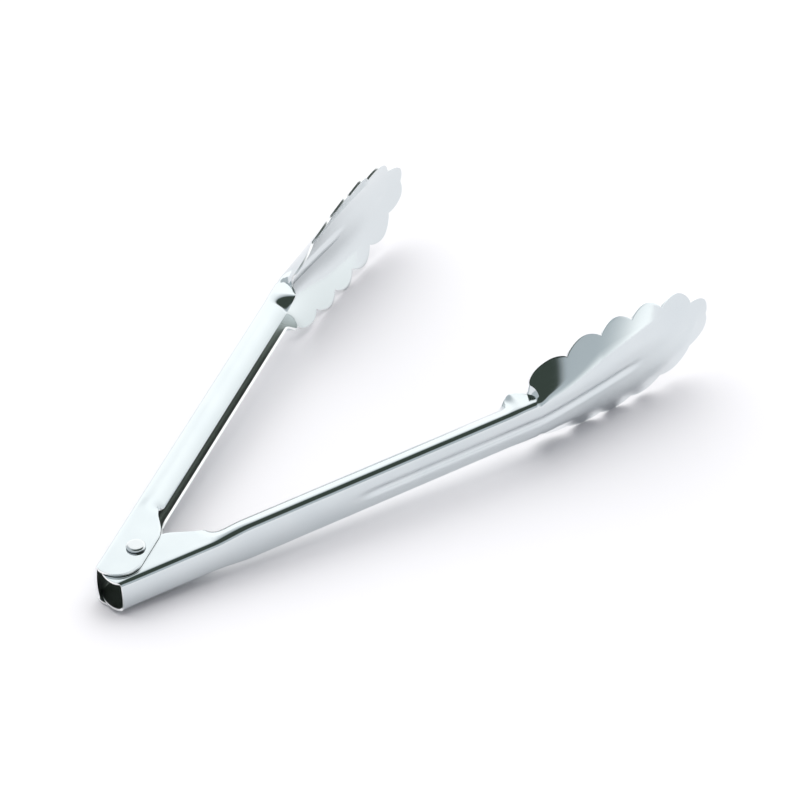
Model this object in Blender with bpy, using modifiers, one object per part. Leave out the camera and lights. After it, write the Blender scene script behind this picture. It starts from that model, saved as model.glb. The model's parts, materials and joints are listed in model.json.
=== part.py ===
"""Spring loaded kitchen tongs, 300 mm long, pressed from stainless steel sheet.

Two channel-section arms turn on one rivet. The inner arm's ears sit between the outer arm's
ears, and a coiled torsion spring round the rivet pushes the arms apart until the inner arm's
ears meet the outer arm's web. That released position is the one modelled.

Metres, +Z up. The tongs lie on their side as on a table: on the rivet's lower head and on one
lobe of each scoop, so the hinge axis leans back a little. The origin is the middle of the
rivet's lower face, and +X runs midway between the two arms, towards their scoops.

Each arm is laid out in its own axes: x runs along the arm from the hinge axis, `depth` goes
from the outer face of the web towards the other arm, and `half` is the distance from the
arm's middle plane.
"""
from math import atan2, cos, pi, radians, sin, sqrt

import bmesh
import bpy
from mathutils import Vector

# ---- Driving dimensions ---------------------------------------------------------------
OPEN_ANGLE = radians(37.3)      # between the two webs when released
SHEET = 0.0010                  # sheet thickness
GAP = 0.0003                    # between pieces that touch

ARM_REACH = 0.2880              # hinge axis to tip
TAIL_LENGTH = 0.0155            # hinge axis to the web's hinge end
CHANNEL_HALF = 0.0085           # half the channel's width
WEB_CROWN = 0.0008              # how far the web bows outwards along its middle
FOLD_RADIUS = 0.0022            # between web and flange, outside
LIP_DEPTH = 0.0102              # web to the flange's free edge
LIP_TUCK = 0.0044               # how far the free edge curls in under the flange
LIP_BOW = 0.6                   # how far the flange bows out over that curl, as its share

OUTER_PIVOT_DEPTH = 0.0110      # outer arm's web to the hinge axis
INNER_PIVOT_DEPTH = 0.0150      # inner arm's web to the hinge axis
EAR_PAST_PIVOT_OUTER = 0.0060   # ear's inner edge beyond the hinge axis
EAR_END = 0.0185                # hinge axis to the ear's rounded end
EAR_CORNER = 0.0095             # radius of that end
EAR_TAPER = 0.6                 # how fast the ear narrows towards the handle
OUTER_NECK = 0.0240             # hinge axis to where the ear has narrowed to the handle
INNER_NECK = 0.0275
CURL_LENGTH = 0.0075            # neck to where the free edge is fully curled
WIDEN_LENGTH = 0.0180           # neck to where the inner arm has its full width

HEAD_LENGTH = 0.1030            # scoop, from its first corner to the tip
NECK_LENGTH = 0.0150            # flared flange between handle and scoop
NECK_SWING = 0.0060             # length in which its free edge swings out of the curl
NECK_LIFT = 0.0022              # how much deeper the free edge runs after that
NECK_SWELL = 0.0004             # how far its fold swells out before the scoop
NECK_END_HALF = 0.0104          # half width of the flange just before the scoop's first corner
CREASE = 0.0012                 # length in which the flange turns into the scoop's wall
CREASE_NOSE = 0.0030            # how far the middle of that crease reaches forward
CREASE_FADE = 0.0120            # length of scoop over which that nose dies out
HEAD_HALF = 0.0203              # scoop's greatest half width, in the notches
HEAD_WIDEST = 0.0480            # first corner to the widest place
HEAD_BACK_AXIS = 0.0640         # oval's half axis from the widest place backwards
HEAD_START_DEPTH = 0.0077       # rim's depth at the first corner
HEAD_RIM_SLOPE = 0.083          # rim's steady rise along the scoop
HEAD_RIM_HOOK = 0.0043          # and its extra rise at the tip
HEAD_HOOK_POWER = 3             # how late rim and middle hook in
HEAD_SPINE_SLOPE = 0.150        # rise of the scoop's middle, before it hooks in at the tip
HEAD_SPINE_EASE = 0.0060        # length over which that rise begins
HEAD_OPENED = 0.6               # share of the scoop over which the channel opens into a bowl
HEAD_FAN = 0.0130               # how far the middle points lag behind the rim at the tip
HEAD_FAN_POWER = 6              # how late they start to lag
HEAD_CORNER_SHARE = 0.56        # where the bowl bends, as a share of its half width
HEAD_CORNER_START = 0.58        # and the most it may be at the first corner
BEND_SHARE = 0.8                # most of a side that a bend's rounding may take up
LOBE_BULGE = 0.0037             # how far a lobe runs on past its notches
LOBE_FULLNESS = 0.75            # below 1 makes a lobe rounder
LOBE_DRAW_POWER = 4             # how late the rim draws back to leave room for the tip's lobe
LOBE_SHARES = (1.09, 0.98, 0.905, 0.925, 1.05, 0.80)   # side lobes, then half the tip lobe

GROOVE_HALF = 0.0028            # stiffening groove pressed into the web
GROOVE_FLAT = 0.45              # share of its half width that is its floor
GROOVE_DEPTH = 0.0008
GROOVE_START = 0.0940           # hinge axis to where the groove begins
GROOVE_FADE = 0.0100            # length over which it deepens, and shallows out again
GROOVE_INTO_HEAD = 0.0620       # first corner to where it has faded out

RIVET_SHANK = 0.0024            # radius
RIVET_HEAD = 0.0040             # radius
RIVET_HEAD_THICK = 0.0012
RIVET_DOME = 0.75               # share of the head's thickness that is rounded off
RIVET_FLAT = 0.0030             # radius of the head's flat face

WIRE = 0.0007                   # spring wire radius
COIL_RADIUS = 0.0046            # to the wire's centre
COIL_TURNS = 5
COIL_PITCH = 0.0017
SPRING_LEG = 0.0380             # hinge axis to a leg's end

LOBE_STEPS = 5                  # stations along one lobe
SECTION_STEPS = 3               # points along a fold and along a flange
NECK_STATIONS = 10
HANDLE_STATION = 0.0150         # spacing of stations along the plain handle

# ---- Worked-out places ----------------------------------------------------------------
HEAD_START = ARM_REACH - HEAD_LENGTH
NECK_START = HEAD_START - NECK_LENGTH
HEAD_FRONT_AXIS = HEAD_LENGTH - HEAD_WIDEST
INNER_HINGE_HALF = CHANNEL_HALF - SHEET - GAP
MID_HEIGHT = CHANNEL_HALF + GAP + RIVET_HEAD_THICK


def clamp(value):
    return min(1.0, max(0.0, value))


def smooth(value):
    t = clamp(value)
    return t * t * (3.0 - 2.0 * t)


def mix(a, b, t):
    return a + (b - a) * t


def inner_ear_depth():
    """Depth of the inner arm's ear, whose rounded corner stops on the outer arm's web."""
    reach = OUTER_PIVOT_DEPTH - SHEET - GAP
    along = EAR_END - EAR_CORNER
    across = (reach - EAR_CORNER - along * sin(OPEN_ANGLE)) / cos(OPEN_ANGLE)
    return INNER_PIVOT_DEPTH + across + EAR_CORNER


class Arm:
    """The sizes in which the two arms differ."""

    def __init__(self, name, side, hinge_half, pivot_depth, ear_depth, neck):
        self.name = name
        self.side = side
        self.hinge_half = hinge_half
        self.pivot_depth = pivot_depth
        self.ear_depth = ear_depth
        self.neck = neck
        self.shoulder = neck - (ear_depth - LIP_DEPTH) / EAR_TAPER
        self.full_width = neck + WIDEN_LENGTH


OUTER_ARM = Arm("outer_arm", 1, CHANNEL_HALF, OUTER_PIVOT_DEPTH,
                OUTER_PIVOT_DEPTH + EAR_PAST_PIVOT_OUTER, OUTER_NECK)
INNER_ARM = Arm("inner_arm", -1, INNER_HINGE_HALF, INNER_PIVOT_DEPTH, inner_ear_depth(),
                INNER_NECK)


# ---- The arm's outline ----------------------------------------------------------------
def channel_half(arm, x):
    return mix(arm.hinge_half, CHANNEL_HALF, smooth((x - arm.neck) / WIDEN_LENGTH))


def oval_half(along):
    """Half width of the scoop's plain oval, `along` from its first corner."""
    past = along - HEAD_WIDEST
    axis = HEAD_FRONT_AXIS if past > 0 else HEAD_BACK_AXIS
    return HEAD_HALF * sqrt(max(0.0, 1.0 - (past / axis) ** 2))


def oval_points(count=400):
    """The oval from its first corner to the tip, closely spaced, with the length run so far."""
    points = []
    run = 0.0
    for i in range(count + 1):
        turn = i / count
        if turn < 0.5:
            along = HEAD_WIDEST * turn * 2.0
        else:
            along = HEAD_WIDEST + HEAD_FRONT_AXIS * sin((turn - 0.5) * pi)
        point = Vector((along, oval_half(along)))
        if points:
            run += (point - points[-1][1]).length
        points.append((run, point))
    return points


def point_at(points, run):
    for (run_a, a), (run_b, b) in zip(points, points[1:]):
        if run <= run_b:
            return a.lerp(b, (run - run_a) / (run_b - run_a))
    return points[-1][1].copy()


def rim_depth(along):
    hook = (along / HEAD_LENGTH) ** HEAD_HOOK_POWER
    return HEAD_START_DEPTH + HEAD_RIM_SLOPE * along + HEAD_RIM_HOOK * hook


def plain_rise(along):
    return HEAD_SPINE_SLOPE * along * along / (along + HEAD_SPINE_EASE)


def spine_depth(along):
    """Depth of the scoop's middle, which hooks in to meet the rim at the tip."""
    share = clamp(along / HEAD_LENGTH)
    hook = rim_depth(HEAD_LENGTH) - plain_rise(HEAD_LENGTH)
    return plain_rise(share * HEAD_LENGTH) + hook * share ** HEAD_HOOK_POWER


def scalloped_rim():
    """The bowl's plain rim as (along, depth, half), and how far a lobe runs on past it."""
    oval = oval_points()
    length = oval[-1][0]
    total = sum(LOBE_SHARES)
    start = 0.0
    rim = []
    for lobe, share in enumerate(LOBE_SHARES):
        end = start + length * share / total
        swing = 0.5 * pi if lobe == len(LOBE_SHARES) - 1 else pi
        for step in range(LOBE_STEPS):
            t = step / LOBE_STEPS
            here = point_at(oval, mix(start, end, t))
            drawn = (here.x / HEAD_LENGTH) ** LOBE_DRAW_POWER
            along = here.x - LOBE_BULGE * drawn
            rim.append((Vector((along, rim_depth(along), here.y)),
                        LOBE_BULGE * sin(swing * t) ** LOBE_FULLNESS))
        start = end
    along = HEAD_LENGTH - LOBE_BULGE
    rim.append((Vector((along, rim_depth(along), 0.0)), LOBE_BULGE))
    return rim


# ---- The arm's cross sections ---------------------------------------------------------
def groove(x, half):
    """How deep the stiffening groove is pressed at a point of the web."""
    fade_in = smooth((x - GROOVE_START) / GROOVE_FADE)
    fade_out = smooth((HEAD_START + GROOVE_INTO_HEAD - x) / GROOVE_FADE)
    across = smooth((GROOVE_HALF - half) / GROOVE_HALF)
    return GROOVE_DEPTH * fade_in * fade_out * across


def quadratic(a, b, c, t):
    return a.lerp(b, t).lerp(b.lerp(c, t), t)


def section(spine, corner, rim, rounding, bulge=0.0, sweep=0.65, rise=0.65, lobe=0.0,
            nose=0.0):
    """One half section from the arm's middle to its free edge, as (x, depth, half) points.

    `corner` is where web and flange would meet sharp, and `rounding` is how much of it is
    taken off. The flange bends at `sweep` of the way along x and `rise` of the way in depth
    from the corner to the rim, where `bulge` bows it outwards and `nose` forwards. Past the
    rim it runs on by `lobe`, in the same curve.
    """
    flange = Vector((mix(corner.x, rim.x, sweep) + nose, mix(corner.y, rim.y, rise),
                     mix(corner.z, rim.z, rise) + bulge))
    rounding = min(rounding, BEND_SHARE * (spine - corner).length,
                   BEND_SHARE * (flange - corner).length)
    web_end = corner + (spine - corner).normalized() * rounding
    flange_start = corner + (flange - corner).normalized() * rounding
    crown = corner.y - spine.y
    if corner.z:
        web_end.y = corner.y - crown * (1.0 - (web_end.z / corner.z) ** 2)
    points = []
    for half in (0.0, GROOVE_FLAT * GROOVE_HALF, GROOVE_HALF):
        t = clamp(half / max(web_end.z, GROOVE_HALF + GAP))
        point = spine.lerp(web_end, t)
        point.y = mix(spine.y, web_end.y, t * t)
        points.append(point)
    for step in range(SECTION_STEPS + 1):
        points.append(quadratic(web_end, corner, flange_start, step / SECTION_STEPS))
    reach = 1.0 + lobe / (2.0 * (rim - flange).length)
    for step in range(1, SECTION_STEPS + 1):
        points.append(quadratic(flange_start, flange, rim, reach * step / SECTION_STEPS))
    return [Vector((p.x, p.y + groove(p.x, p.z), p.z)) for p in points]


def ear_end_sections(arm):
    """Rounded end of the ears. The stations lean out from the web's end to follow it."""
    centre_x = EAR_CORNER - EAR_END
    centre_depth = arm.ear_depth - EAR_CORNER
    sections = []
    for i in range(6):
        turn = pi / 2 * i / 5
        x = mix(-TAIL_LENGTH, centre_x, i / 5)
        rim = Vector((centre_x - EAR_CORNER * cos(turn), centre_depth + EAR_CORNER * sin(turn),
                      arm.hinge_half))
        spine = Vector((x, -WEB_CROWN, 0.0))
        corner = Vector((x, 0.0, arm.hinge_half))
        sections.append(section(spine, corner, rim, FOLD_RADIUS, 0.0, 1.0, 0.45))
    return sections


def channel_section(arm, x, depth, curl):
    half = channel_half(arm, x)
    spine = Vector((x, -WEB_CROWN, 0.0))
    corner = Vector((x, 0.0, half))
    rim = Vector((x, depth, half - LIP_TUCK * curl))
    return section(spine, corner, rim, FOLD_RADIUS, LIP_BOW * LIP_TUCK * curl)


def hinge_sections(arm):
    """Ears: plain flanges square to the web, then tapering down to the neck."""
    sections = ear_end_sections(arm)
    centre_x = EAR_CORNER - EAR_END
    for i in (1, 2):
        x = mix(centre_x, arm.shoulder, i / 2)
        sections.append(channel_section(arm, x, arm.ear_depth, 0.0))
    for i in (1, 2, 3):
        x = mix(arm.shoulder, arm.neck, i / 4)
        sections.append(channel_section(arm, x, mix(arm.ear_depth, LIP_DEPTH, i / 4), 0.0))
    return sections


def handle_sections(arm):
    """Handle: a channel whose free edges curl inwards."""
    curled = arm.neck + CURL_LENGTH
    stations = [mix(arm.neck, curled, i / 3) for i in range(4)]
    stations += [mix(curled, arm.full_width, i / 2) for i in (1, 2)]
    plain = max(2, round((NECK_START - arm.full_width) / HANDLE_STATION))
    stations += [mix(arm.full_width, NECK_START, i / plain) for i in range(1, plain + 1)]
    return [channel_section(arm, x, LIP_DEPTH, smooth((x - arm.neck) / CURL_LENGTH))
            for x in stations]


def neck_sections():
    """Neck: the free edge swings out of its curl, then the flange runs on level.

    It ends as a tongue that turns up into the scoop at its first corner.
    """
    sections = []
    for i in range(1, NECK_STATIONS + 1):
        t = i / NECK_STATIONS
        x = mix(NECK_START, HEAD_START - CREASE, t)
        swung = smooth((x - NECK_START) / NECK_SWING)
        half = CHANNEL_HALF + NECK_SWELL * swung
        depth = mix(LIP_DEPTH + NECK_LIFT * swung, HEAD_START_DEPTH, t ** 4)
        spine = Vector((x, -WEB_CROWN, 0.0))
        corner = Vector((x, 0.0, half))
        rim = Vector((x, depth, mix(CHANNEL_HALF - LIP_TUCK, NECK_END_HALF, swung)))
        bulge = LIP_BOW * LIP_TUCK * (1.0 - swung)
        sections.append(section(spine, corner, rim, FOLD_RADIUS, bulge,
                                nose=CREASE_NOSE * t ** 4))
    return sections


def head_sections():
    """Scoop: web and flanges open out into one shallow bowl that closes at the tip.

    The stations fan out round the tip, so their middle points lag behind the rim.
    """
    start = Vector((HEAD_START, 0.0, 0.0))
    sections = []
    for rim, lobe in scalloped_rim():
        t = rim.x / HEAD_LENGTH
        opened = smooth(t / HEAD_OPENED)
        spine_x = rim.x - HEAD_FAN * t ** HEAD_FAN_POWER
        corner_x = mix(spine_x, rim.x, HEAD_CORNER_SHARE)
        corner_half = mix(min(CHANNEL_HALF, HEAD_CORNER_START * rim.z),
                          HEAD_CORNER_SHARE * rim.z, opened)
        spine = Vector((spine_x, spine_depth(spine_x) - WEB_CROWN * (1.0 - opened), 0.0))
        corner = Vector((corner_x, spine_depth(corner_x), corner_half))
        rounding = mix(FOLD_RADIUS, BEND_SHARE * corner_half, opened)
        nose = CREASE_NOSE * (1.0 - smooth(rim.x / CREASE_FADE))
        sections.append(section(start + spine, start + corner, start + rim, rounding,
                                lobe=lobe, nose=nose))
    return sections


# ---- Blender objects ------------------------------------------------------------------
def clear_scene():
    for obj in list(bpy.data.objects):
        bpy.data.objects.remove(obj, do_unlink=True)


def new_collection(name):
    collection = bpy.data.collections.new(name)
    bpy.context.scene.collection.children.link(collection)
    return collection


def steel(name, colour, roughness):
    material = bpy.data.materials.new(name)
    material.use_nodes = True
    shader = material.node_tree.nodes["Principled BSDF"]
    shader.inputs["Base Color"].default_value = (*colour, 1.0)
    shader.inputs["Metallic"].default_value = 1.0
    shader.inputs["Roughness"].default_value = roughness
    return material


def table_lean():
    """Lean of the hinge axis that sets the rivet and the lowest lobes on one plane."""
    leans = []
    for arm in (OUTER_ARM, INNER_ARM):
        for row in head_sections():
            edge = row[-1]
            inwards = edge.y - arm.pivot_depth
            x = edge.x * cos(OPEN_ANGLE / 2) + inwards * sin(OPEN_ANGLE / 2)
            leans.append(atan2(edge.z - MID_HEIGHT, x + RIVET_FLAT))
    return max(leans)


def new_stand(collection):
    """Empty at the foot of the hinge axis, leaned as the tongs lie. Everything hangs on it."""
    stand = bpy.data.objects.new("hinge_axis", None)
    stand.rotation_euler = (0.0, -table_lean(), 0.0)
    collection.objects.link(stand)
    return stand


def add_object(name, data, collection, stand, material=None, angle=0.0):
    """Places an object with its origin on the hinge axis, turned by `angle` about it."""
    obj = bpy.data.objects.new(name, data)
    obj.parent = stand
    obj.location = (0.0, 0.0, MID_HEIGHT)
    obj.rotation_euler = (0.0, 0.0, angle)
    if material:
        data.materials.append(material)
    collection.objects.link(obj)
    return obj


def arm_skin(arm):
    """Outer surface of the arm's upper half, open along the middle plane."""
    rows = hinge_sections(arm) + handle_sections(arm) + neck_sections() + head_sections()
    mesh = bpy.data.meshes.new(arm.name)
    skin = bmesh.new()
    grid = []
    for row in rows:
        points = [(p.x, arm.side * (arm.pivot_depth - p.y), p.z) for p in row]
        grid.append([skin.verts.new(point) for point in points])
    for row, ahead in zip(grid, grid[1:]):
        for j in range(len(row) - 1):
            face = [row[j], ahead[j], ahead[j + 1], row[j + 1]]
            if arm.side > 0:
                face.reverse()
            skin.faces.new(face)
    bmesh.ops.remove_doubles(skin, verts=skin.verts, dist=0.00001)
    bmesh.ops.dissolve_degenerate(skin, edges=skin.edges, dist=0.00001)
    skin.to_mesh(mesh)
    skin.free()
    return mesh


def hinge_hole_cutter(collection, stand):
    mesh = bpy.data.meshes.new("hinge_hole_cutter")
    drill = bmesh.new()
    radius = RIVET_SHANK + GAP
    bmesh.ops.create_cone(drill, cap_ends=True, segments=32, radius1=radius, radius2=radius,
                          depth=4 * CHANNEL_HALF)
    drill.to_mesh(mesh)
    drill.free()
    cutter = add_object("hinge_hole_cutter", mesh, collection, stand)
    cutter.hide_render = True
    cutter.display_type = "WIRE"
    return cutter


def make_arm(arm, angle, cutter, collection, stand, material):
    """Pressed sheet arm: half skin, mirrored, given the sheet's thickness, then pierced."""
    mesh = arm_skin(arm)
    obj = add_object(arm.name, mesh, collection, stand, material, angle)
    mirror = obj.modifiers.new("other_half", "MIRROR")
    mirror.use_axis = (False, False, True)
    mirror.merge_threshold = 0.00001
    sheet = obj.modifiers.new("sheet", "SOLIDIFY")
    sheet.thickness = SHEET
    sheet.offset = -1.0
    sheet.use_even_offset = False
    hole = obj.modifiers.new("hinge_hole", "BOOLEAN")
    hole.operation = "DIFFERENCE"
    hole.object = cutter
    mesh.shade_smooth()
    return obj


def make_rivet(collection, stand, material):
    """Solid rivet: flat-topped heads with rounded edges, one formed at each end."""
    top = MID_HEIGHT
    neck = top - RIVET_HEAD_THICK
    edge = RIVET_HEAD - RIVET_FLAT
    upper = [(0.0, top)]
    for i in range(4):
        turn = pi / 2 * i / 3
        drop = RIVET_DOME * RIVET_HEAD_THICK * (1.0 - cos(turn))
        upper.append((RIVET_FLAT + edge * sin(turn), top - drop))
    upper += [(RIVET_HEAD, neck), (RIVET_SHANK, neck)]
    profile = upper + [(radius, -height) for radius, height in reversed(upper)]
    mesh = bpy.data.meshes.new("hinge_rivet")
    edges = [(i, i + 1) for i in range(len(profile) - 1)]
    mesh.from_pydata([(radius, 0.0, height) for radius, height in profile], edges, [])
    obj = add_object("hinge_rivet", mesh, collection, stand, material)
    turned = obj.modifiers.new("turned", "SCREW")
    turned.steps = 32
    turned.render_steps = 32
    turned.use_merge_vertices = True
    turned.merge_threshold = 0.00001
    turned.use_smooth_shade = True
    return obj


def spring_path():
    """Wire from one leg's end, round the coil, to the other leg's end."""
    leg_turn = pi / 2 + OPEN_ANGLE / 2
    swept = COIL_TURNS * 2 * pi + 2 * (pi - leg_turn)
    count = 14 * (COIL_TURNS + 1)
    coil = []
    for i in range(count + 1):
        t = i / count
        turn = leg_turn + swept * t
        height = COIL_PITCH * swept / (2 * pi) * (0.5 - t)
        coil.append(Vector((COIL_RADIUS * cos(turn), COIL_RADIUS * sin(turn), height)))
    return ([leg_end(OUTER_ARM, coil[0])] + coil + [leg_end(INNER_ARM, coil[-1])])


def leg_end(arm, root):
    """End of the spring's leg, where the wire lies just clear of the arm's web."""
    angle = arm.side * OPEN_ANGLE / 2
    across = arm.side * (arm.pivot_depth - SHEET - GAP - WIRE)
    x = SPRING_LEG * cos(angle) - across * sin(angle)
    y = SPRING_LEG * sin(angle) + across * cos(angle)
    return Vector((x, y, root.z))


def make_spring(collection, stand, material):
    curve = bpy.data.curves.new("torsion_spring", "CURVE")
    curve.dimensions = "3D"
    curve.bevel_depth = WIRE
    curve.bevel_resolution = 2
    curve.use_fill_caps = True
    path = spring_path()
    spline = curve.splines.new("POLY")
    spline.points.add(len(path) - 1)
    for point, place in zip(spline.points, path):
        point.co = (*place, 1.0)
    return add_object("torsion_spring", curve, collection, stand, material)


def main():
    clear_scene()
    tongs = new_collection("kitchen_tongs")
    cutters = new_collection("cutters")
    polished = steel("polished_steel", (0.80, 0.81, 0.82), 0.12)
    rivet_steel = steel("rivet_steel", (0.74, 0.75, 0.76), 0.20)
    spring_steel = steel("spring_steel", (0.52, 0.52, 0.53), 0.30)
    stand = new_stand(tongs)
    cutter = hinge_hole_cutter(cutters, stand)
    make_arm(OUTER_ARM, OPEN_ANGLE / 2, cutter, tongs, stand, polished)
    make_arm(INNER_ARM, -OPEN_ANGLE / 2, cutter, tongs, stand, polished)
    make_rivet(tongs, stand, rivet_steel)
    make_spring(tongs, stand, spring_steel)


main()
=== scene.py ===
import json
from math import atan2, cos, pi, radians, sin, sqrt, tau

import bpy
from mathutils import Matrix, Vector


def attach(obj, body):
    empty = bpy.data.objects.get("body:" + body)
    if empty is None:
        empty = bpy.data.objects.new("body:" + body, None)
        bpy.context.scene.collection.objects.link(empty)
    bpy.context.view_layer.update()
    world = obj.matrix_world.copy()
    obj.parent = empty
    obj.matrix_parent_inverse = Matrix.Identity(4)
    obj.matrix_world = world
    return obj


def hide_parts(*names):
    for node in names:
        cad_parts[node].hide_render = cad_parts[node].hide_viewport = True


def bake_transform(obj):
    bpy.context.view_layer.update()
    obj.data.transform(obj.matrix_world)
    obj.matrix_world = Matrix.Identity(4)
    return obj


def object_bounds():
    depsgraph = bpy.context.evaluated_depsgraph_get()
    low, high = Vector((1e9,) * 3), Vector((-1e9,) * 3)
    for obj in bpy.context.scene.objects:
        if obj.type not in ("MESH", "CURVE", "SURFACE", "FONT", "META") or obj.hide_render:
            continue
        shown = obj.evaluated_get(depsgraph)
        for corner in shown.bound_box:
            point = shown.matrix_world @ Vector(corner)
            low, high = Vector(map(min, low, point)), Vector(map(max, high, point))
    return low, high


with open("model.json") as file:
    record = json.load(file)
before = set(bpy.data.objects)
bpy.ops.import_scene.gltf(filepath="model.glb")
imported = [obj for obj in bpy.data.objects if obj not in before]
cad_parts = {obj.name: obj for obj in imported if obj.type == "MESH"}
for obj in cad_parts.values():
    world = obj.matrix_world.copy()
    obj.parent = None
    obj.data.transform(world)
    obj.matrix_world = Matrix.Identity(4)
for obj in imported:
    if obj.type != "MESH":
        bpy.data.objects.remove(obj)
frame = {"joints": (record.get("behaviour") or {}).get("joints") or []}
cad_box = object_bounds()

# ---- The two arms ---------------------------------------------------------------------
# Each arm is one blank of 1 mm stainless sheet, pressed into a channel that opens out into a
# scalloped scoop, then polished bright all over. Two ears at the hinge end carry the rivet,
# and the inner arm's channel is drawn in there so that it turns between the outer arm's ears.
OPEN_ANGLE = radians(37.3)      # between the two webs when released
SHEET = 0.0010                  # sheet thickness
GAP = 0.0003                    # between pieces that touch
ARM_REACH = 0.2880              # hinge axis to tip
TAIL_LENGTH = 0.0155            # hinge axis to the web's hinge end
CHANNEL_HALF = 0.0085           # half the channel's width
WEB_CROWN = 0.0008              # how far the web bows outwards along its middle
FOLD_RADIUS = 0.0022            # between web and flange, outside
BEND_SHARE = 0.8                # most of a side that a bend's rounding may take up
FLANGE_BEND = 0.65              # where a flange bends, as a share of its depth
LIP_DEPTH = 0.0102              # web to the flange's free edge
LIP_TUCK = 0.0044               # how far the free edge curls in under the flange
LIP_BOW = 0.78                  # how far the flange bows out over that curl, as a share of it

EAR_PAST_PIVOT = 0.0060         # outer ear's inner edge beyond the hinge axis
EAR_END = 0.0185                # hinge axis to the ear's rounded end
EAR_CORNER = 0.0095             # radius of that end
EAR_BEND = 0.45                 # the same for an ear, which is flat
EAR_TAPER = 0.6                 # how fast the ear narrows towards the handle
EAR_EASE = 0.0035               # length over which its outline eases into the handle's
CURL_LENGTH = 0.0075            # neck to where the free edge is fully curled
WIDEN_LENGTH = 0.0180           # neck to where the inner arm has its full width

HEAD_LENGTH = 0.1030            # scoop, from its first corner to the tip
NECK_LENGTH = 0.0150            # flared flange between handle and scoop
NECK_SWING = 0.0080             # length in which its free edge swings out of the curl
NECK_LIFT = 0.0022              # how much deeper the free edge runs after that
NECK_SWELL = 0.0004             # how far its fold swells out before the scoop
NECK_END_HALF = 0.0092          # half width of the flange just before the scoop's first corner
CREASE = 0.0012                 # length in which the flange turns into the scoop's wall
CREASE_NOSE = 0.0030            # how far the middle of that crease reaches forward
CREASE_FADE = 0.0120            # length of scoop over which that nose dies out
HEAD_HALF = 0.0203              # scoop's greatest half width, in the notches
HEAD_WIDEST = 0.0480            # first corner to the widest place
HEAD_BACK_AXIS = 0.0640         # oval's half axis from the widest place backwards
HEAD_START_DEPTH = 0.0077       # rim's depth at the first corner
HEAD_RIM_SLOPE = 0.083          # rim's steady rise along the scoop
HEAD_RIM_HOOK = 0.0043          # and its extra rise at the tip
HEAD_HOOK_POWER = 3             # how late rim and middle hook in
HEAD_SPINE_SLOPE = 0.150        # rise of the scoop's middle, before it hooks in at the tip
HEAD_SPINE_EASE = 0.0060        # length over which that rise begins
HEAD_OPENED = 0.6               # share of the scoop over which the channel opens into a bowl
HEAD_FAN = 0.0130               # how far the middle points lag behind the rim at the tip
HEAD_FAN_POWER = 6              # how late they start to lag
HEAD_CORNER_SHARE = 0.56        # where the bowl bends, as a share of its half width
HEAD_CORNER_START = 0.58        # and the most it may be at the first corner
LOBE_BULGE = 0.0037             # how far a lobe runs on past its notches
LOBE_FULLNESS = 0.75            # below 1 makes a lobe rounder
LOBE_DRAW_POWER = 4             # how late the rim draws back to leave room for the tip's lobe
LOBE_SHARES = (1.09, 0.98, 0.905, 0.925, 1.05, 0.80)   # side lobes, then half the tip lobe

GROOVE_HALF = 0.0028            # stiffening groove pressed into the web
GROOVE_DEPTH = 0.0008
GROOVE_START = 0.0940           # hinge axis to where the groove begins
GROOVE_FADE = 0.0100            # length over which it deepens
GROOVE_FADE_OUT = 0.0150        # length over which it shallows out again
GROOVE_INTO_HEAD = 0.0620       # first corner to where it has faded out

RIVET_SHANK = 0.0024            # radius of the rivet, which the ears are pierced for
EDGE_ROUND = 0.00022            # how much of the cut edges is tumbled off
MERGE = 0.00001                 # points closer than this are one

HEAD_START = ARM_REACH - HEAD_LENGTH
NECK_START = HEAD_START - NECK_LENGTH
HEAD_FRONT_AXIS = HEAD_LENGTH - HEAD_WIDEST

LOBE_STEPS = 20                 # mesh rows along one lobe
EAR_END_STEPS = 16              # along the ears' rounded end
HANDLE_STEPS = 76               # from there to the neck
HANDLE_SPREAD = 1.45            # above 1 sets them closer together near the hinge
NECK_STEPS = 30
WEB_STEPS = 16                  # mesh columns across half the web, a fold and a flange
FOLD_STEPS = 8
FLANGE_STEPS = 12

# The hinge's place, and the way its axis leans as the tongs lie on their side.
hinge = frame["joints"][0]
hinge_axis = Vector(hinge["axis"]).normalized()
LEAN = atan2(-hinge_axis.x, hinge_axis.z)
hinge_place = Matrix.Translation(Vector(hinge["pos_m"])) @ Matrix.Rotation(-LEAN, 4, "Y")


def clamp(value):
    return min(1.0, max(0.0, value))


def smooth(value):
    t = clamp(value)
    return t * t * (3.0 - 2.0 * t)


def mix(a, b, t):
    return a + (b - a) * t


def oval_half(along):
    """Half width of the scoop's plain oval."""
    past = along - HEAD_WIDEST
    axis = HEAD_FRONT_AXIS if past > 0 else HEAD_BACK_AXIS
    return HEAD_HALF * sqrt(max(0.0, 1.0 - (past / axis) ** 2))


def oval_points(count=400):
    """The oval from its first corner to the tip, with the length run so far."""
    points = []
    run = 0.0
    for i in range(count + 1):
        turn = i / count
        if turn < 0.5:
            along = HEAD_WIDEST * turn * 2.0
        else:
            along = HEAD_WIDEST + HEAD_FRONT_AXIS * sin((turn - 0.5) * pi)
        point = Vector((along, oval_half(along)))
        if points:
            run += (point - points[-1][1]).length
        points.append((run, point))
    return points


def point_at(points, run):
    for (run_a, a), (run_b, b) in zip(points, points[1:]):
        if run <= run_b:
            return a.lerp(b, (run - run_a) / (run_b - run_a))
    return points[-1][1].copy()


def rim_depth(along):
    hook = (along / HEAD_LENGTH) ** HEAD_HOOK_POWER
    return HEAD_START_DEPTH + HEAD_RIM_SLOPE * along + HEAD_RIM_HOOK * hook


def plain_rise(along):
    return HEAD_SPINE_SLOPE * along * along / (along + HEAD_SPINE_EASE)


def spine_depth(along):
    """Depth of the scoop's middle, which hooks in to meet the rim at the tip."""
    share = clamp(along / HEAD_LENGTH)
    hook = rim_depth(HEAD_LENGTH) - plain_rise(HEAD_LENGTH)
    return plain_rise(share * HEAD_LENGTH) + hook * share ** HEAD_HOOK_POWER


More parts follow.
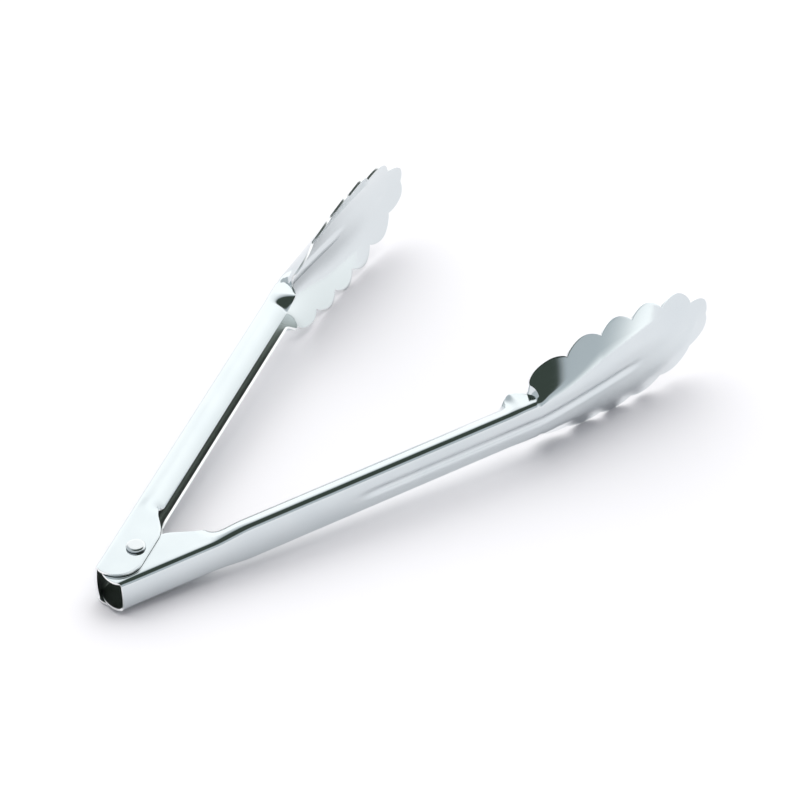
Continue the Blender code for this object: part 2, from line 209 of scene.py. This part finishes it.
def scalloped_rim():
    """The bowl's plain rim as (along, depth, half), and how far a lobe stands out past it."""
    oval = oval_points()
    length = oval[-1][0]
    total = sum(LOBE_SHARES)
    start = 0.0
    rim = []
    for lobe, share in enumerate(LOBE_SHARES):
        end = start + length * share / total
        swing = 0.5 * pi if lobe == len(LOBE_SHARES) - 1 else pi
        for step in range(LOBE_STEPS):
            t = step / LOBE_STEPS
            here = point_at(oval, mix(start, end, t))
            along = here.x - LOBE_BULGE * (here.x / HEAD_LENGTH) ** LOBE_DRAW_POWER
            rim.append((Vector((along, rim_depth(along), here.y)),
                        LOBE_BULGE * sin(swing * t) ** LOBE_FULLNESS))
        start = end
    along = HEAD_LENGTH - LOBE_BULGE
    rim.append((Vector((along, rim_depth(along), 0.0)), LOBE_BULGE))
    return rim


def groove(x, half):
    """How deep the stiffening groove is pressed at a point of the web."""
    fade_in = smooth((x - GROOVE_START) / GROOVE_FADE)
    fade_out = smooth((HEAD_START + GROOVE_INTO_HEAD - x) / GROOVE_FADE_OUT)
    return GROOVE_DEPTH * fade_in * fade_out * smooth((GROOVE_HALF - half) / GROOVE_HALF)


def curve(a, b, c, t):
    return a.lerp(b, t).lerp(b.lerp(c, t), t)


def half_section(spine, corner, rim, rounding, bulge, sweep=FLANGE_BEND, rise=FLANGE_BEND,
                 lobe=0.0, nose=0.0):
    """The sheet from the arm's middle to its free edge, as (x, depth, half) points.

    `corner` is where web and flange would meet sharp, and `rounding` is how much of it is
    taken off. The flange bends at `sweep` of the way along x and `rise` of the way in depth,
    where `bulge` bows it outwards and `nose` forwards. Past the rim it runs on by `lobe`.
    """
    flange = Vector((mix(corner.x, rim.x, sweep) + nose, mix(corner.y, rim.y, rise),
                     mix(corner.z, rim.z, rise) + bulge))
    rounding = min(rounding, BEND_SHARE * (spine - corner).length,
                   BEND_SHARE * (flange - corner).length)
    web_end = corner + (spine - corner).normalized() * rounding
    fold_end = corner + (flange - corner).normalized() * rounding
    crown = corner.y - spine.y
    if corner.z:
        web_end.y = corner.y - crown * (1.0 - (web_end.z / corner.z) ** 2)
    points = []
    for step in range(WEB_STEPS):
        t = step / WEB_STEPS
        point = spine.lerp(web_end, t)
        point.y = mix(spine.y, web_end.y, t * t)
        points.append(point)
    points += [curve(web_end, corner, fold_end, i / FOLD_STEPS) for i in range(FOLD_STEPS)]
    reach = 1.0 + lobe / (2.0 * (rim - flange).length)
    points += [curve(fold_end, flange, rim, reach * i / FLANGE_STEPS)
               for i in range(FLANGE_STEPS + 1)]
    return [Vector((p.x, p.y + groove(p.x, p.z), p.z)) for p in points]


def arm_sections(hinge_half, ear_depth, neck):
    """Every cross section of one arm, from its hinge end to the tip of its scoop."""
    shoulder = neck - (ear_depth - LIP_DEPTH) / EAR_TAPER
    ear_centre = EAR_CORNER - EAR_END
    sections = []

    def edge_depth(x):
        return mix(ear_depth, LIP_DEPTH, clamp((x - shoulder) / (neck - shoulder)))

    def eased_depth(x):
        offsets = [EAR_EASE * (i / 4.0 - 1.0) for i in range(9)]
        return sum(edge_depth(x + offset) for offset in offsets) / len(offsets)

    # the ears' rounded end: the rows lean out from the web's end to follow it
    for i in range(EAR_END_STEPS + 1):
        turn = pi / 2 * i / EAR_END_STEPS
        x = mix(-TAIL_LENGTH, ear_centre, i / EAR_END_STEPS)
        rim = Vector((ear_centre - EAR_CORNER * cos(turn),
                      ear_depth - EAR_CORNER + EAR_CORNER * sin(turn), hinge_half))
        sections.append(half_section(Vector((x, -WEB_CROWN, 0.0)), Vector((x, 0.0, hinge_half)),
                                     rim, FOLD_RADIUS, 0.0, 1.0, EAR_BEND))

    # ears, taper and handle: one channel whose free edges curl in past the neck
    for i in range(1, HANDLE_STEPS + 1):
        x = mix(ear_centre, NECK_START, (i / HANDLE_STEPS) ** HANDLE_SPREAD)
        half = mix(hinge_half, CHANNEL_HALF, smooth((x - neck) / WIDEN_LENGTH))
        curl = smooth((x - neck) / CURL_LENGTH)
        sections.append(half_section(Vector((x, -WEB_CROWN, 0.0)), Vector((x, 0.0, half)),
                                     Vector((x, eased_depth(x), half - LIP_TUCK * curl)),
                                     FOLD_RADIUS, LIP_BOW * LIP_TUCK * curl))

    # neck: the free edge swings quickly out of its curl, and the flange then runs on level
    # as a tongue that turns up into the scoop at its first corner
    for i in range(1, NECK_STEPS + 1):
        t = i / NECK_STEPS
        x = mix(NECK_START, HEAD_START - CREASE, t)
        swung = smooth((x - NECK_START) / NECK_SWING)
        half = CHANNEL_HALF + NECK_SWELL * swung
        rim = Vector((x, mix(LIP_DEPTH + NECK_LIFT * swung, HEAD_START_DEPTH, t ** 4),
                      mix(CHANNEL_HALF - LIP_TUCK, NECK_END_HALF, swung)))
        sections.append(half_section(Vector((x, -WEB_CROWN, 0.0)), Vector((x, 0.0, half)),
                                     rim, FOLD_RADIUS, LIP_BOW * LIP_TUCK * (1.0 - swung),
                                     nose=CREASE_NOSE * t ** 4))

    # scoop: web and flanges open out into one bowl that closes at the tip
    start = Vector((HEAD_START, 0.0, 0.0))
    for rim, lobe in scalloped_rim():
        t = rim.x / HEAD_LENGTH
        opened = smooth(t / HEAD_OPENED)
        spine_x = rim.x - HEAD_FAN * t ** HEAD_FAN_POWER
        corner_x = mix(spine_x, rim.x, HEAD_CORNER_SHARE)
        corner_half = mix(min(CHANNEL_HALF, HEAD_CORNER_START * rim.z),
                          HEAD_CORNER_SHARE * rim.z, opened)
        spine = Vector((spine_x, spine_depth(spine_x) - WEB_CROWN * (1.0 - opened), 0.0))
        corner = Vector((corner_x, spine_depth(corner_x), corner_half))
        rounding = mix(FOLD_RADIUS, BEND_SHARE * corner_half, opened)
        nose = CREASE_NOSE * (1.0 - smooth(rim.x / CREASE_FADE))
        sections.append(half_section(start + spine, start + corner, start + rim, rounding, 0.0,
                                     lobe=lobe, nose=nose))
    return sections


def use_modifiers(piece):
    """Applies every modifier of a piece, top to bottom."""
    bpy.ops.object.select_all(action="DESELECT")
    piece.select_set(True)
    bpy.context.view_layer.objects.active = piece
    for modifier in list(piece.modifiers):
        bpy.ops.object.modifier_apply(modifier=modifier.name)


def set_in_place(piece, place):
    """Puts a piece where it belongs, with the place in its mesh."""
    bpy.ops.object.select_all(action="DESELECT")
    piece.select_set(True)
    bpy.context.view_layer.objects.active = piece
    piece.matrix_world = place
    bpy.ops.object.transform_apply(location=True, rotation=True, scale=True)


def press_arm(name, side, hinge_half, pivot_depth, ear_depth, neck):
    """One arm: a flat half blank pressed to shape, mirrored, given its thickness and pierced.

    Its UVs run in metres, along the arm and across the sheet.
    """
    sections = arm_sections(hinge_half, ear_depth, neck)
    across = len(sections[0]) - 1
    bpy.ops.object.select_all(action="DESELECT")
    bpy.ops.mesh.primitive_grid_add(x_subdivisions=len(sections) - 1, y_subdivisions=across,
                                    size=1.0, location=(0.5, 0.5, 0.0))
    bpy.ops.object.transform_apply(location=True)
    arm = bpy.context.object
    arm.name = name
    laid_out = arm.data.uv_layers.active.data
    pressed = [sections[round(vertex.co.x * (len(sections) - 1))][round(vertex.co.y * across)]
               for vertex in arm.data.vertices]
    for loop in arm.data.loops:
        point = pressed[loop.vertex_index]
        laid_out[loop.index].uv = (point.x, 0.5 * point.y + point.z)
    for vertex, point in zip(arm.data.vertices, pressed):
        vertex.co = (point.x, side * (pivot_depth - point.y), max(0.0, point.z))

    mirror = arm.modifiers.new("other_half", "MIRROR")
    mirror.use_axis = (False, False, True)
    mirror.merge_threshold = MERGE
    use_modifiers(arm)
    bpy.ops.object.mode_set(mode="EDIT")
    bpy.ops.mesh.select_all(action="SELECT")
    bpy.ops.mesh.remove_doubles(threshold=MERGE)
    bpy.ops.mesh.dissolve_degenerate(threshold=MERGE)
    bpy.ops.mesh.select_all(action="SELECT")
    bpy.ops.mesh.normals_make_consistent(inside=False)
    bpy.ops.object.mode_set(mode="OBJECT")
    on_web = Vector((0.5 * NECK_START, side * pivot_depth, 0.0))
    web = min(arm.data.polygons, key=lambda face: (face.center - on_web).length)
    if web.normal.y * side < 0:
        bpy.ops.object.mode_set(mode="EDIT")
        bpy.ops.mesh.flip_normals()
        bpy.ops.object.mode_set(mode="OBJECT")

    bpy.ops.mesh.primitive_cylinder_add(vertices=48, radius=RIVET_SHANK + GAP,
                                        depth=4 * CHANNEL_HALF)
    drill = bpy.context.object
    sheet = arm.modifiers.new("sheet", "SOLIDIFY")
    sheet.thickness = SHEET
    sheet.offset = -1.0
    # the inner face takes the third material, whose dark colour is painted shade inside the
    # channel
    sheet.material_offset = 2
    sheet.material_offset_rim = 1
    hole = arm.modifiers.new("rivet_hole", "BOOLEAN")
    hole.operation = "DIFFERENCE"
    hole.object = drill
    edges = arm.modifiers.new("rounded_edges", "BEVEL")
    edges.limit_method = "ANGLE"
    edges.angle_limit = radians(55)
    edges.width = EDGE_ROUND
    edges.segments = 3
    arm.data.materials.append(polished_steel)
    arm.data.materials.append(cut_edge_steel)
    arm.data.materials.append(painted_shade_inside_steel)
    use_modifiers(arm)
    bpy.data.objects.remove(drill, do_unlink=True)
    bpy.ops.object.shade_smooth_by_angle(angle=radians(35))
    set_in_place(arm, hinge_place @ Matrix.Rotation(side * OPEN_ANGLE / 2, 4, "Z"))
    return arm


def new_steel(name, colour, roughness):
    """A bright metal with a Principled shader, and the nodes to build on."""
    material = bpy.data.materials.new(name)
    material.use_nodes = True
    nodes = material.node_tree.nodes
    shader = nodes["Principled BSDF"]
    shader.inputs["Base Color"].default_value = (*colour, 1.0)
    shader.inputs["Metallic"].default_value = 1.0
    shader.inputs["Roughness"].default_value = roughness
    return material, nodes, material.node_tree.links, shader


# The arms' finish: mirror bright, with the faint ripple of pressed sheet, fine polishing lines
# along the arm and a slow change of tone where the wheel has dwelt.
polished_steel, nodes, links, shader = new_steel("polished_steel", (0.86, 0.87, 0.87), 0.10)
coords = nodes.new("ShaderNodeTexCoord")
ripple = nodes.new("ShaderNodeTexNoise")
ripple.inputs["Scale"].default_value = 55.0
ripple.inputs["Detail"].default_value = 1.0
links.new(coords.outputs["Object"], ripple.inputs["Vector"])
along = nodes.new("ShaderNodeMapping")
along.inputs["Scale"].default_value = (60.0, 4200.0, 1.0)
links.new(coords.outputs["UV"], along.inputs["Vector"])
lines = nodes.new("ShaderNodeTexNoise")
lines.inputs["Scale"].default_value = 1.0
lines.inputs["Detail"].default_value = 3.0
links.new(along.outputs["Vector"], lines.inputs["Vector"])
wave = nodes.new("ShaderNodeBump")
wave.inputs["Strength"].default_value = 0.25
wave.inputs["Distance"].default_value = 0.0004
links.new(ripple.outputs["Fac"], wave.inputs["Height"])
scratch = nodes.new("ShaderNodeBump")
scratch.inputs["Strength"].default_value = 0.05
scratch.inputs["Distance"].default_value = 0.00004
links.new(lines.outputs["Fac"], scratch.inputs["Height"])
links.new(wave.outputs["Normal"], scratch.inputs["Normal"])
links.new(scratch.outputs["Normal"], shader.inputs["Normal"])
dulled = nodes.new("ShaderNodeMapRange")
dulled.inputs["From Min"].default_value = 0.3
dulled.inputs["From Max"].default_value = 0.7
dulled.inputs["To Min"].default_value = 0.07
dulled.inputs["To Max"].default_value = 0.15
links.new(lines.outputs["Fac"], dulled.inputs["Value"])
links.new(dulled.outputs["Result"], shader.inputs["Roughness"])
tone = nodes.new("ShaderNodeMix")
tone.data_type = "RGBA"
tone.inputs["A"].default_value = (0.64, 0.69, 0.71, 1.0)
tone.inputs["B"].default_value = (0.71, 0.75, 0.76, 1.0)
links.new(ripple.outputs["Fac"], tone.inputs["Factor"])
links.new(tone.outputs["Result"], shader.inputs["Base Color"])

# The sheet's cut edges are tumbled round but stay a little rougher than its faces.
cut_edge_steel, nodes, links, shader = new_steel("cut_edge_steel", (0.92, 0.93, 0.93), 0.28)
coords = nodes.new("ShaderNodeTexCoord")
grain = nodes.new("ShaderNodeTexNoise")
grain.inputs["Scale"].default_value = 2500.0
links.new(coords.outputs["Object"], grain.inputs["Vector"])
grain_bump = nodes.new("ShaderNodeBump")
grain_bump.inputs["Strength"].default_value = 0.2
grain_bump.inputs["Distance"].default_value = 0.00005
links.new(grain.outputs["Fac"], grain_bump.inputs["Height"])
links.new(grain_bump.outputs["Normal"], shader.inputs["Normal"])

# Inside the channel the sheet keeps a rougher rolled face, and its colour there is darkened to
# a dull greenish grey: painted shade for the channel's hollow.
# Both fade out through the neck into the scoop, which is bright inside.
painted_shade_inside_steel, nodes, links, shader = new_steel("painted_shade_inside_steel", (0.30, 0.33, 0.31), 0.30)
coords = nodes.new("ShaderNodeTexCoord")
place = nodes.new("ShaderNodeSeparateXYZ")
links.new(coords.outputs["UV"], place.inputs["Vector"])
past_channel = nodes.new("ShaderNodeMapRange")
past_channel.interpolation_type = "SMOOTHSTEP"
past_channel.inputs["From Min"].default_value = NECK_START
past_channel.inputs["From Max"].default_value = HEAD_START + 0.5 * NECK_LENGTH
links.new(place.outputs["X"], past_channel.inputs["Value"])
shade_mottle = nodes.new("ShaderNodeTexNoise")
shade_mottle.inputs["Scale"].default_value = 120.0
links.new(coords.outputs["Object"], shade_mottle.inputs["Vector"])
# painted shade: dark greenish tones for the inside of the channel, mottled at random
painted_shade_tone = nodes.new("ShaderNodeMix")
painted_shade_tone.data_type = "RGBA"
painted_shade_tone.inputs["A"].default_value = (0.24, 0.27, 0.25, 1.0)
painted_shade_tone.inputs["B"].default_value = (0.36, 0.39, 0.37, 1.0)
links.new(shade_mottle.outputs["Fac"], painted_shade_tone.inputs["Factor"])
# the painted shade gives way to the polished tone from the neck into the scoop
brightened = nodes.new("ShaderNodeMix")
brightened.data_type = "RGBA"
brightened.inputs["B"].default_value = (0.69, 0.73, 0.74, 1.0)
links.new(past_channel.outputs["Result"], brightened.inputs["Factor"])
links.new(painted_shade_tone.outputs["Result"], brightened.inputs["A"])
links.new(brightened.outputs["Result"], shader.inputs["Base Color"])
sheen = nodes.new("ShaderNodeMapRange")
sheen.inputs["To Min"].default_value = 0.32
sheen.inputs["To Max"].default_value = 0.14
links.new(past_channel.outputs["Result"], sheen.inputs["Value"])
links.new(sheen.outputs["Result"], shader.inputs["Roughness"])

# Outer arm: the plain channel, with the ears outside.
OUTER_PIVOT_DEPTH = 0.0110      # its web to the hinge axis
OUTER_NECK = 0.0240             # hinge axis to where the ear has narrowed to the handle
outer_arm = press_arm("outer_arm_sheet", 1, CHANNEL_HALF, OUTER_PIVOT_DEPTH,
                      OUTER_PIVOT_DEPTH + EAR_PAST_PIVOT, OUTER_NECK)
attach(outer_arm, "outer_arm")
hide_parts("outer_arm")

# Inner arm: drawn in at the hinge, with deeper ears whose rounded ends stop on the outer web.
INNER_PIVOT_DEPTH = 0.0150
INNER_NECK = 0.0275
inner_ear_reach = OUTER_PIVOT_DEPTH - SHEET - GAP
inner_ear_depth = INNER_PIVOT_DEPTH + EAR_CORNER + (
    inner_ear_reach - EAR_CORNER - (EAR_END - EAR_CORNER) * sin(OPEN_ANGLE)) / cos(OPEN_ANGLE)
inner_arm = press_arm("inner_arm_sheet", -1, CHANNEL_HALF - SHEET - GAP, INNER_PIVOT_DEPTH,
                      inner_ear_depth, INNER_NECK)
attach(inner_arm, "inner_arm")
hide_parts("inner_arm")

# ---- Torsion spring -------------------------------------------------------------------
# Hard-drawn stainless wire wound in five turns round the rivet, between the ears. One leg
# lies along the inside of each web and nothing else holds it.
WIRE = 0.0007                   # wire radius
COIL_RADIUS = 0.0046            # to the wire's centre
COIL_TURNS = 5
COIL_PITCH = 0.0017
SPRING_LEG = 0.0380             # hinge axis to a leg's end
COIL_STEPS = 200                # wire rings round the coil

leg_turn = pi / 2 + OPEN_ANGLE / 2
swept = COIL_TURNS * tau + 2 * (pi - leg_turn)
coil_half = COIL_PITCH * swept / tau / 2

bpy.ops.object.select_all(action="DESELECT")
bpy.ops.mesh.primitive_circle_add(vertices=16, radius=WIRE, fill_type="NOTHING",
                                  location=(COIL_RADIUS, 0.0, 0.0),
                                  rotation=(pi / 2, 0.0, 0.0))
bpy.ops.object.transform_apply(location=True, rotation=True)
spring = bpy.context.object
spring.name = "spring_wire"
wound = spring.modifiers.new("wound", "SCREW")
wound.angle = swept
wound.screw_offset = -2 * coil_half
wound.steps = COIL_STEPS
wound.render_steps = COIL_STEPS
use_modifiers(spring)
coil_start = Matrix.Translation((0.0, 0.0, coil_half)) @ Matrix.Rotation(leg_turn, 4, "Z")
set_in_place(spring, coil_start)


def draw_out_leg(side, pivot_depth, root_turn, height):
    """Pulls the wire's open end out of the coil, straight along the arm's web."""
    angle = side * OPEN_ANGLE / 2
    across = side * (pivot_depth - SHEET - GAP - WIRE)
    root = Vector((COIL_RADIUS * cos(root_turn), COIL_RADIUS * sin(root_turn), height))
    tip = Vector((SPRING_LEG * cos(angle) - across * sin(angle),
                  SPRING_LEG * sin(angle) + across * cos(angle), height))
    bpy.ops.object.mode_set(mode="EDIT")
    bpy.ops.mesh.select_all(action="DESELECT")
    bpy.ops.object.mode_set(mode="OBJECT")
    rings = [v for v in spring.data.vertices if (v.co - root).length < 1.3 * WIRE]
    end = [v for v in rings if len([e for e in spring.data.edges if v.index in e.vertices]) < 4]
    for vertex in end:
        vertex.select = True
    bpy.ops.object.mode_set(mode="EDIT")
    bpy.ops.mesh.extrude_region_move(TRANSFORM_OT_translate={"value": tip - root})
    bpy.ops.mesh.edge_face_add()


draw_out_leg(1, OUTER_PIVOT_DEPTH, leg_turn, coil_half)
draw_out_leg(-1, INNER_PIVOT_DEPTH, leg_turn + swept, -coil_half)
bpy.ops.object.mode_set(mode="EDIT")
bpy.ops.mesh.select_all(action="SELECT")
bpy.ops.mesh.remove_doubles(threshold=MERGE)
bpy.ops.mesh.normals_make_consistent(inside=False)
bpy.ops.object.mode_set(mode="OBJECT")
bpy.ops.object.shade_smooth_by_angle(angle=radians(50))
set_in_place(spring, hinge_place)

spring_steel, nodes, links, shader = new_steel("spring_steel", (0.52, 0.52, 0.53), 0.30)
coords = nodes.new("ShaderNodeTexCoord")
drawn = nodes.new("ShaderNodeTexNoise")
drawn.inputs["Scale"].default_value = 900.0
links.new(coords.outputs["Object"], drawn.inputs["Vector"])
shade = nodes.new("ShaderNodeMapRange")
shade.inputs["To Min"].default_value = 0.22
shade.inputs["To Max"].default_value = 0.42
links.new(drawn.outputs["Fac"], shade.inputs["Value"])
links.new(shade.outputs["Result"], shader.inputs["Roughness"])
spring.data.materials.append(spring_steel)
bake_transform(spring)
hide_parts("torsion_spring")

# ---- Hinge rivet ----------------------------------------------------------------------
# One solid stainless rivet through all four ears, with a low domed head at each end. It is
# put in from above and headed below, which leaves the two heads alike.
RIVET_HEAD = 0.0040             # radius of the head
RIVET_HEAD_THICK = 0.0012
RIVET_FLAT = 0.0030             # radius where the dome starts
DOME_RISE = 0.60                # share of the head's thickness that is rounded off
DOME_STEPS = 8
FLAT_RINGS = 4                  # rings that divide the flat top

rivet_top = CHANNEL_HALF + GAP + RIVET_HEAD_THICK
bpy.ops.object.select_all(action="DESELECT")
bpy.ops.mesh.primitive_cylinder_add(vertices=64, radius=RIVET_HEAD,
                                    depth=2 * (rivet_top - DOME_RISE * RIVET_HEAD_THICK))
rivet = bpy.context.object
rivet.name = "hinge_rivet_headed"
bpy.ops.object.mode_set(mode="EDIT")
bpy.ops.mesh.select_mode(type="FACE")
for side in (1, -1):
    bpy.ops.mesh.select_all(action="SELECT")
    bpy.ops.mesh.bisect(plane_co=(0.0, 0.0, side * (CHANNEL_HALF + GAP)),
                        plane_no=(0.0, 0.0, 1.0))
bpy.ops.object.mode_set(mode="OBJECT")
for face in rivet.data.polygons:
    face.select = abs(face.center.z) < CHANNEL_HALF and abs(face.normal.z) < 0.5
bpy.ops.object.mode_set(mode="EDIT")
bpy.ops.mesh.extrude_region_shrink_fatten(
    TRANSFORM_OT_shrink_fatten={"value": RIVET_SHANK - RIVET_HEAD})
bpy.ops.object.mode_set(mode="OBJECT")
for face in rivet.data.polygons:
    face.select = abs(face.normal.z) > 0.9 and len(face.vertices) > 4
bpy.ops.object.mode_set(mode="EDIT")
for step in range(DOME_STEPS):
    before = pi / 2 * step / DOME_STEPS
    turn = pi / 2 * (step + 1) / DOME_STEPS
    bpy.ops.mesh.inset(thickness=(RIVET_HEAD - RIVET_FLAT) * (cos(before) - cos(turn)),
                       depth=DOME_RISE * RIVET_HEAD_THICK * (sin(turn) - sin(before)))
for step in range(FLAT_RINGS):
    bpy.ops.mesh.inset(thickness=RIVET_FLAT / (FLAT_RINGS + 1), depth=0.0)
bpy.ops.object.mode_set(mode="OBJECT")
bpy.ops.object.shade_smooth_by_angle(angle=radians(40))
set_in_place(rivet, hinge_place)

rivet_steel, nodes, links, shader = new_steel("rivet_steel", (0.72, 0.74, 0.75), 0.18)
coords = nodes.new("ShaderNodeTexCoord")
dents = nodes.new("ShaderNodeTexNoise")
dents.inputs["Scale"].default_value = 700.0
links.new(coords.outputs["Object"], dents.inputs["Vector"])
dent_bump = nodes.new("ShaderNodeBump")
dent_bump.inputs["Strength"].default_value = 0.15
dent_bump.inputs["Distance"].default_value = 0.0001
links.new(dents.outputs["Fac"], dent_bump.inputs["Height"])
links.new(dent_bump.outputs["Normal"], shader.inputs["Normal"])
rivet.data.materials.append(rivet_steel)
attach(rivet, "outer_arm")
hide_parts("hinge_rivet")

# ---- Studio ---------------------------------------------------------------------------
# A white table that runs out of sight, one broad soft light above it, and around it the white
# screens and the dark ceiling that bright steel shows. A long lens looks down on the tongs.
TABLE_SIZE = 12.0

bpy.ops.object.select_all(action="DESELECT")
bpy.ops.mesh.primitive_plane_add(size=TABLE_SIZE, location=(0.0, 0.0, cad_box[0][2]))
table = bpy.context.object
table.name = "table"
white = bpy.data.materials.new("white_table")
white.use_nodes = True
white.node_tree.nodes["Principled BSDF"].inputs["Base Color"].default_value = (0.9, 0.9, 0.9, 1)
white.node_tree.nodes["Principled BSDF"].inputs["Roughness"].default_value = 0.8
white.node_tree.nodes["Principled BSDF"].inputs["Specular IOR Level"].default_value = 0.0
table.data.materials.append(white)

LIGHT_FROM = Vector((0.42, 0.46, 1.0))
key_data = bpy.data.lights.new("overhead_light", "SUN")
key_data.angle = radians(88)
key_data.energy = 2.55
key = bpy.data.objects.new("overhead_light", key_data)
key.rotation_euler = LIGHT_FROM.to_track_quat("Z", "Y").to_euler()
key.visible_glossy = False
bpy.context.scene.collection.objects.link(key)

# Screens and ceiling as (azimuth, elevation, radius, softness, colour), angles in degrees.
SCREEN_WHITE = (1.38, 1.40, 1.40)
SURROUNDINGS = (
    (-169.0, 28.0, 97.0, 10.0, (0.56, 0.61, 0.64)),
    (-7.0, -13.0, 25.0, 36.0, (0.68, 0.72, 0.74)),
    (-96.0, 73.0, 41.0, 4.0, (0.055, 0.072, 0.060)),
)
AMBIENT = (0.47, 0.465, 0.50)
world = bpy.data.worlds.new("studio")
world.use_nodes = True
nodes = world.node_tree.nodes
links = world.node_tree.links
direction = nodes.new("ShaderNodeTexCoord")
shade = None
for azimuth, elevation, radius, softness, colour in SURROUNDINGS:
    azimuth, elevation = radians(azimuth), radians(elevation)
    facing = nodes.new("ShaderNodeVectorMath")
    facing.operation = "DOT_PRODUCT"
    facing.inputs[1].default_value = (cos(elevation) * cos(azimuth),
                                      cos(elevation) * sin(azimuth), sin(elevation))
    links.new(direction.outputs["Generated"], facing.inputs[0])
    angle = nodes.new("ShaderNodeMath")
    angle.operation = "ARCCOSINE"
    links.new(facing.outputs["Value"], angle.inputs[0])
    edge = nodes.new("ShaderNodeMapRange")
    edge.interpolation_type = "SMOOTHSTEP"
    edge.inputs["From Min"].default_value = radians(radius + softness)
    edge.inputs["From Max"].default_value = radians(radius - softness)
    links.new(angle.outputs["Value"], edge.inputs["Value"])
    laid = nodes.new("ShaderNodeMix")
    laid.data_type = "RGBA"
    laid.inputs["A"].default_value = (*SCREEN_WHITE, 1.0)
    laid.inputs["B"].default_value = (*colour, 1.0)
    if shade:
        links.new(shade, laid.inputs["A"])
    links.new(edge.outputs["Result"], laid.inputs["Factor"])
    shade = laid.outputs["Result"]
ray = nodes.new("ShaderNodeLightPath")
seen = nodes.new("ShaderNodeMix")
seen.data_type = "RGBA"
seen.inputs["B"].default_value = (*AMBIENT, 1.0)
links.new(shade, seen.inputs["A"])
links.new(ray.outputs["Diffuse Depth"], seen.inputs["Factor"])
links.new(seen.outputs["Result"], nodes["Background"].inputs["Color"])
bpy.context.scene.world = world

LENS = 179.5                    # millimetres, on a 36 mm sensor
CAMERA_AZIMUTH = radians(-51.03)
CAMERA_ELEVATION = radians(37.53)
CAMERA_ROLL = radians(-1.48)
CAMERA_DISTANCE = 1.6707
look = Vector((-sin(CAMERA_AZIMUTH) * cos(CAMERA_ELEVATION),
               cos(CAMERA_AZIMUTH) * cos(CAMERA_ELEVATION), -sin(CAMERA_ELEVATION)))
level = Vector((cos(CAMERA_AZIMUTH), sin(CAMERA_AZIMUTH), 0.0))
upright = level.cross(look)
right = level * cos(CAMERA_ROLL) + upright * sin(CAMERA_ROLL)
upward = upright * cos(CAMERA_ROLL) - level * sin(CAMERA_ROLL)
stand = Matrix((right, upward, -look)).transposed().to_4x4()
stand.translation = Vector((0.1466, -0.0182, 0.0)) - look * CAMERA_DISTANCE
camera_data = bpy.data.cameras.new("studio_camera")
camera_data.lens = LENS
camera_data.sensor_width = 36.0
camera_data.clip_end = 30.0
camera = bpy.data.objects.new("studio_camera", camera_data)
camera.matrix_world = hinge_place @ stand
bpy.context.scene.collection.objects.link(camera)
bpy.context.scene.camera = camera
bpy.context.scene.view_settings.view_transform = "Standard"
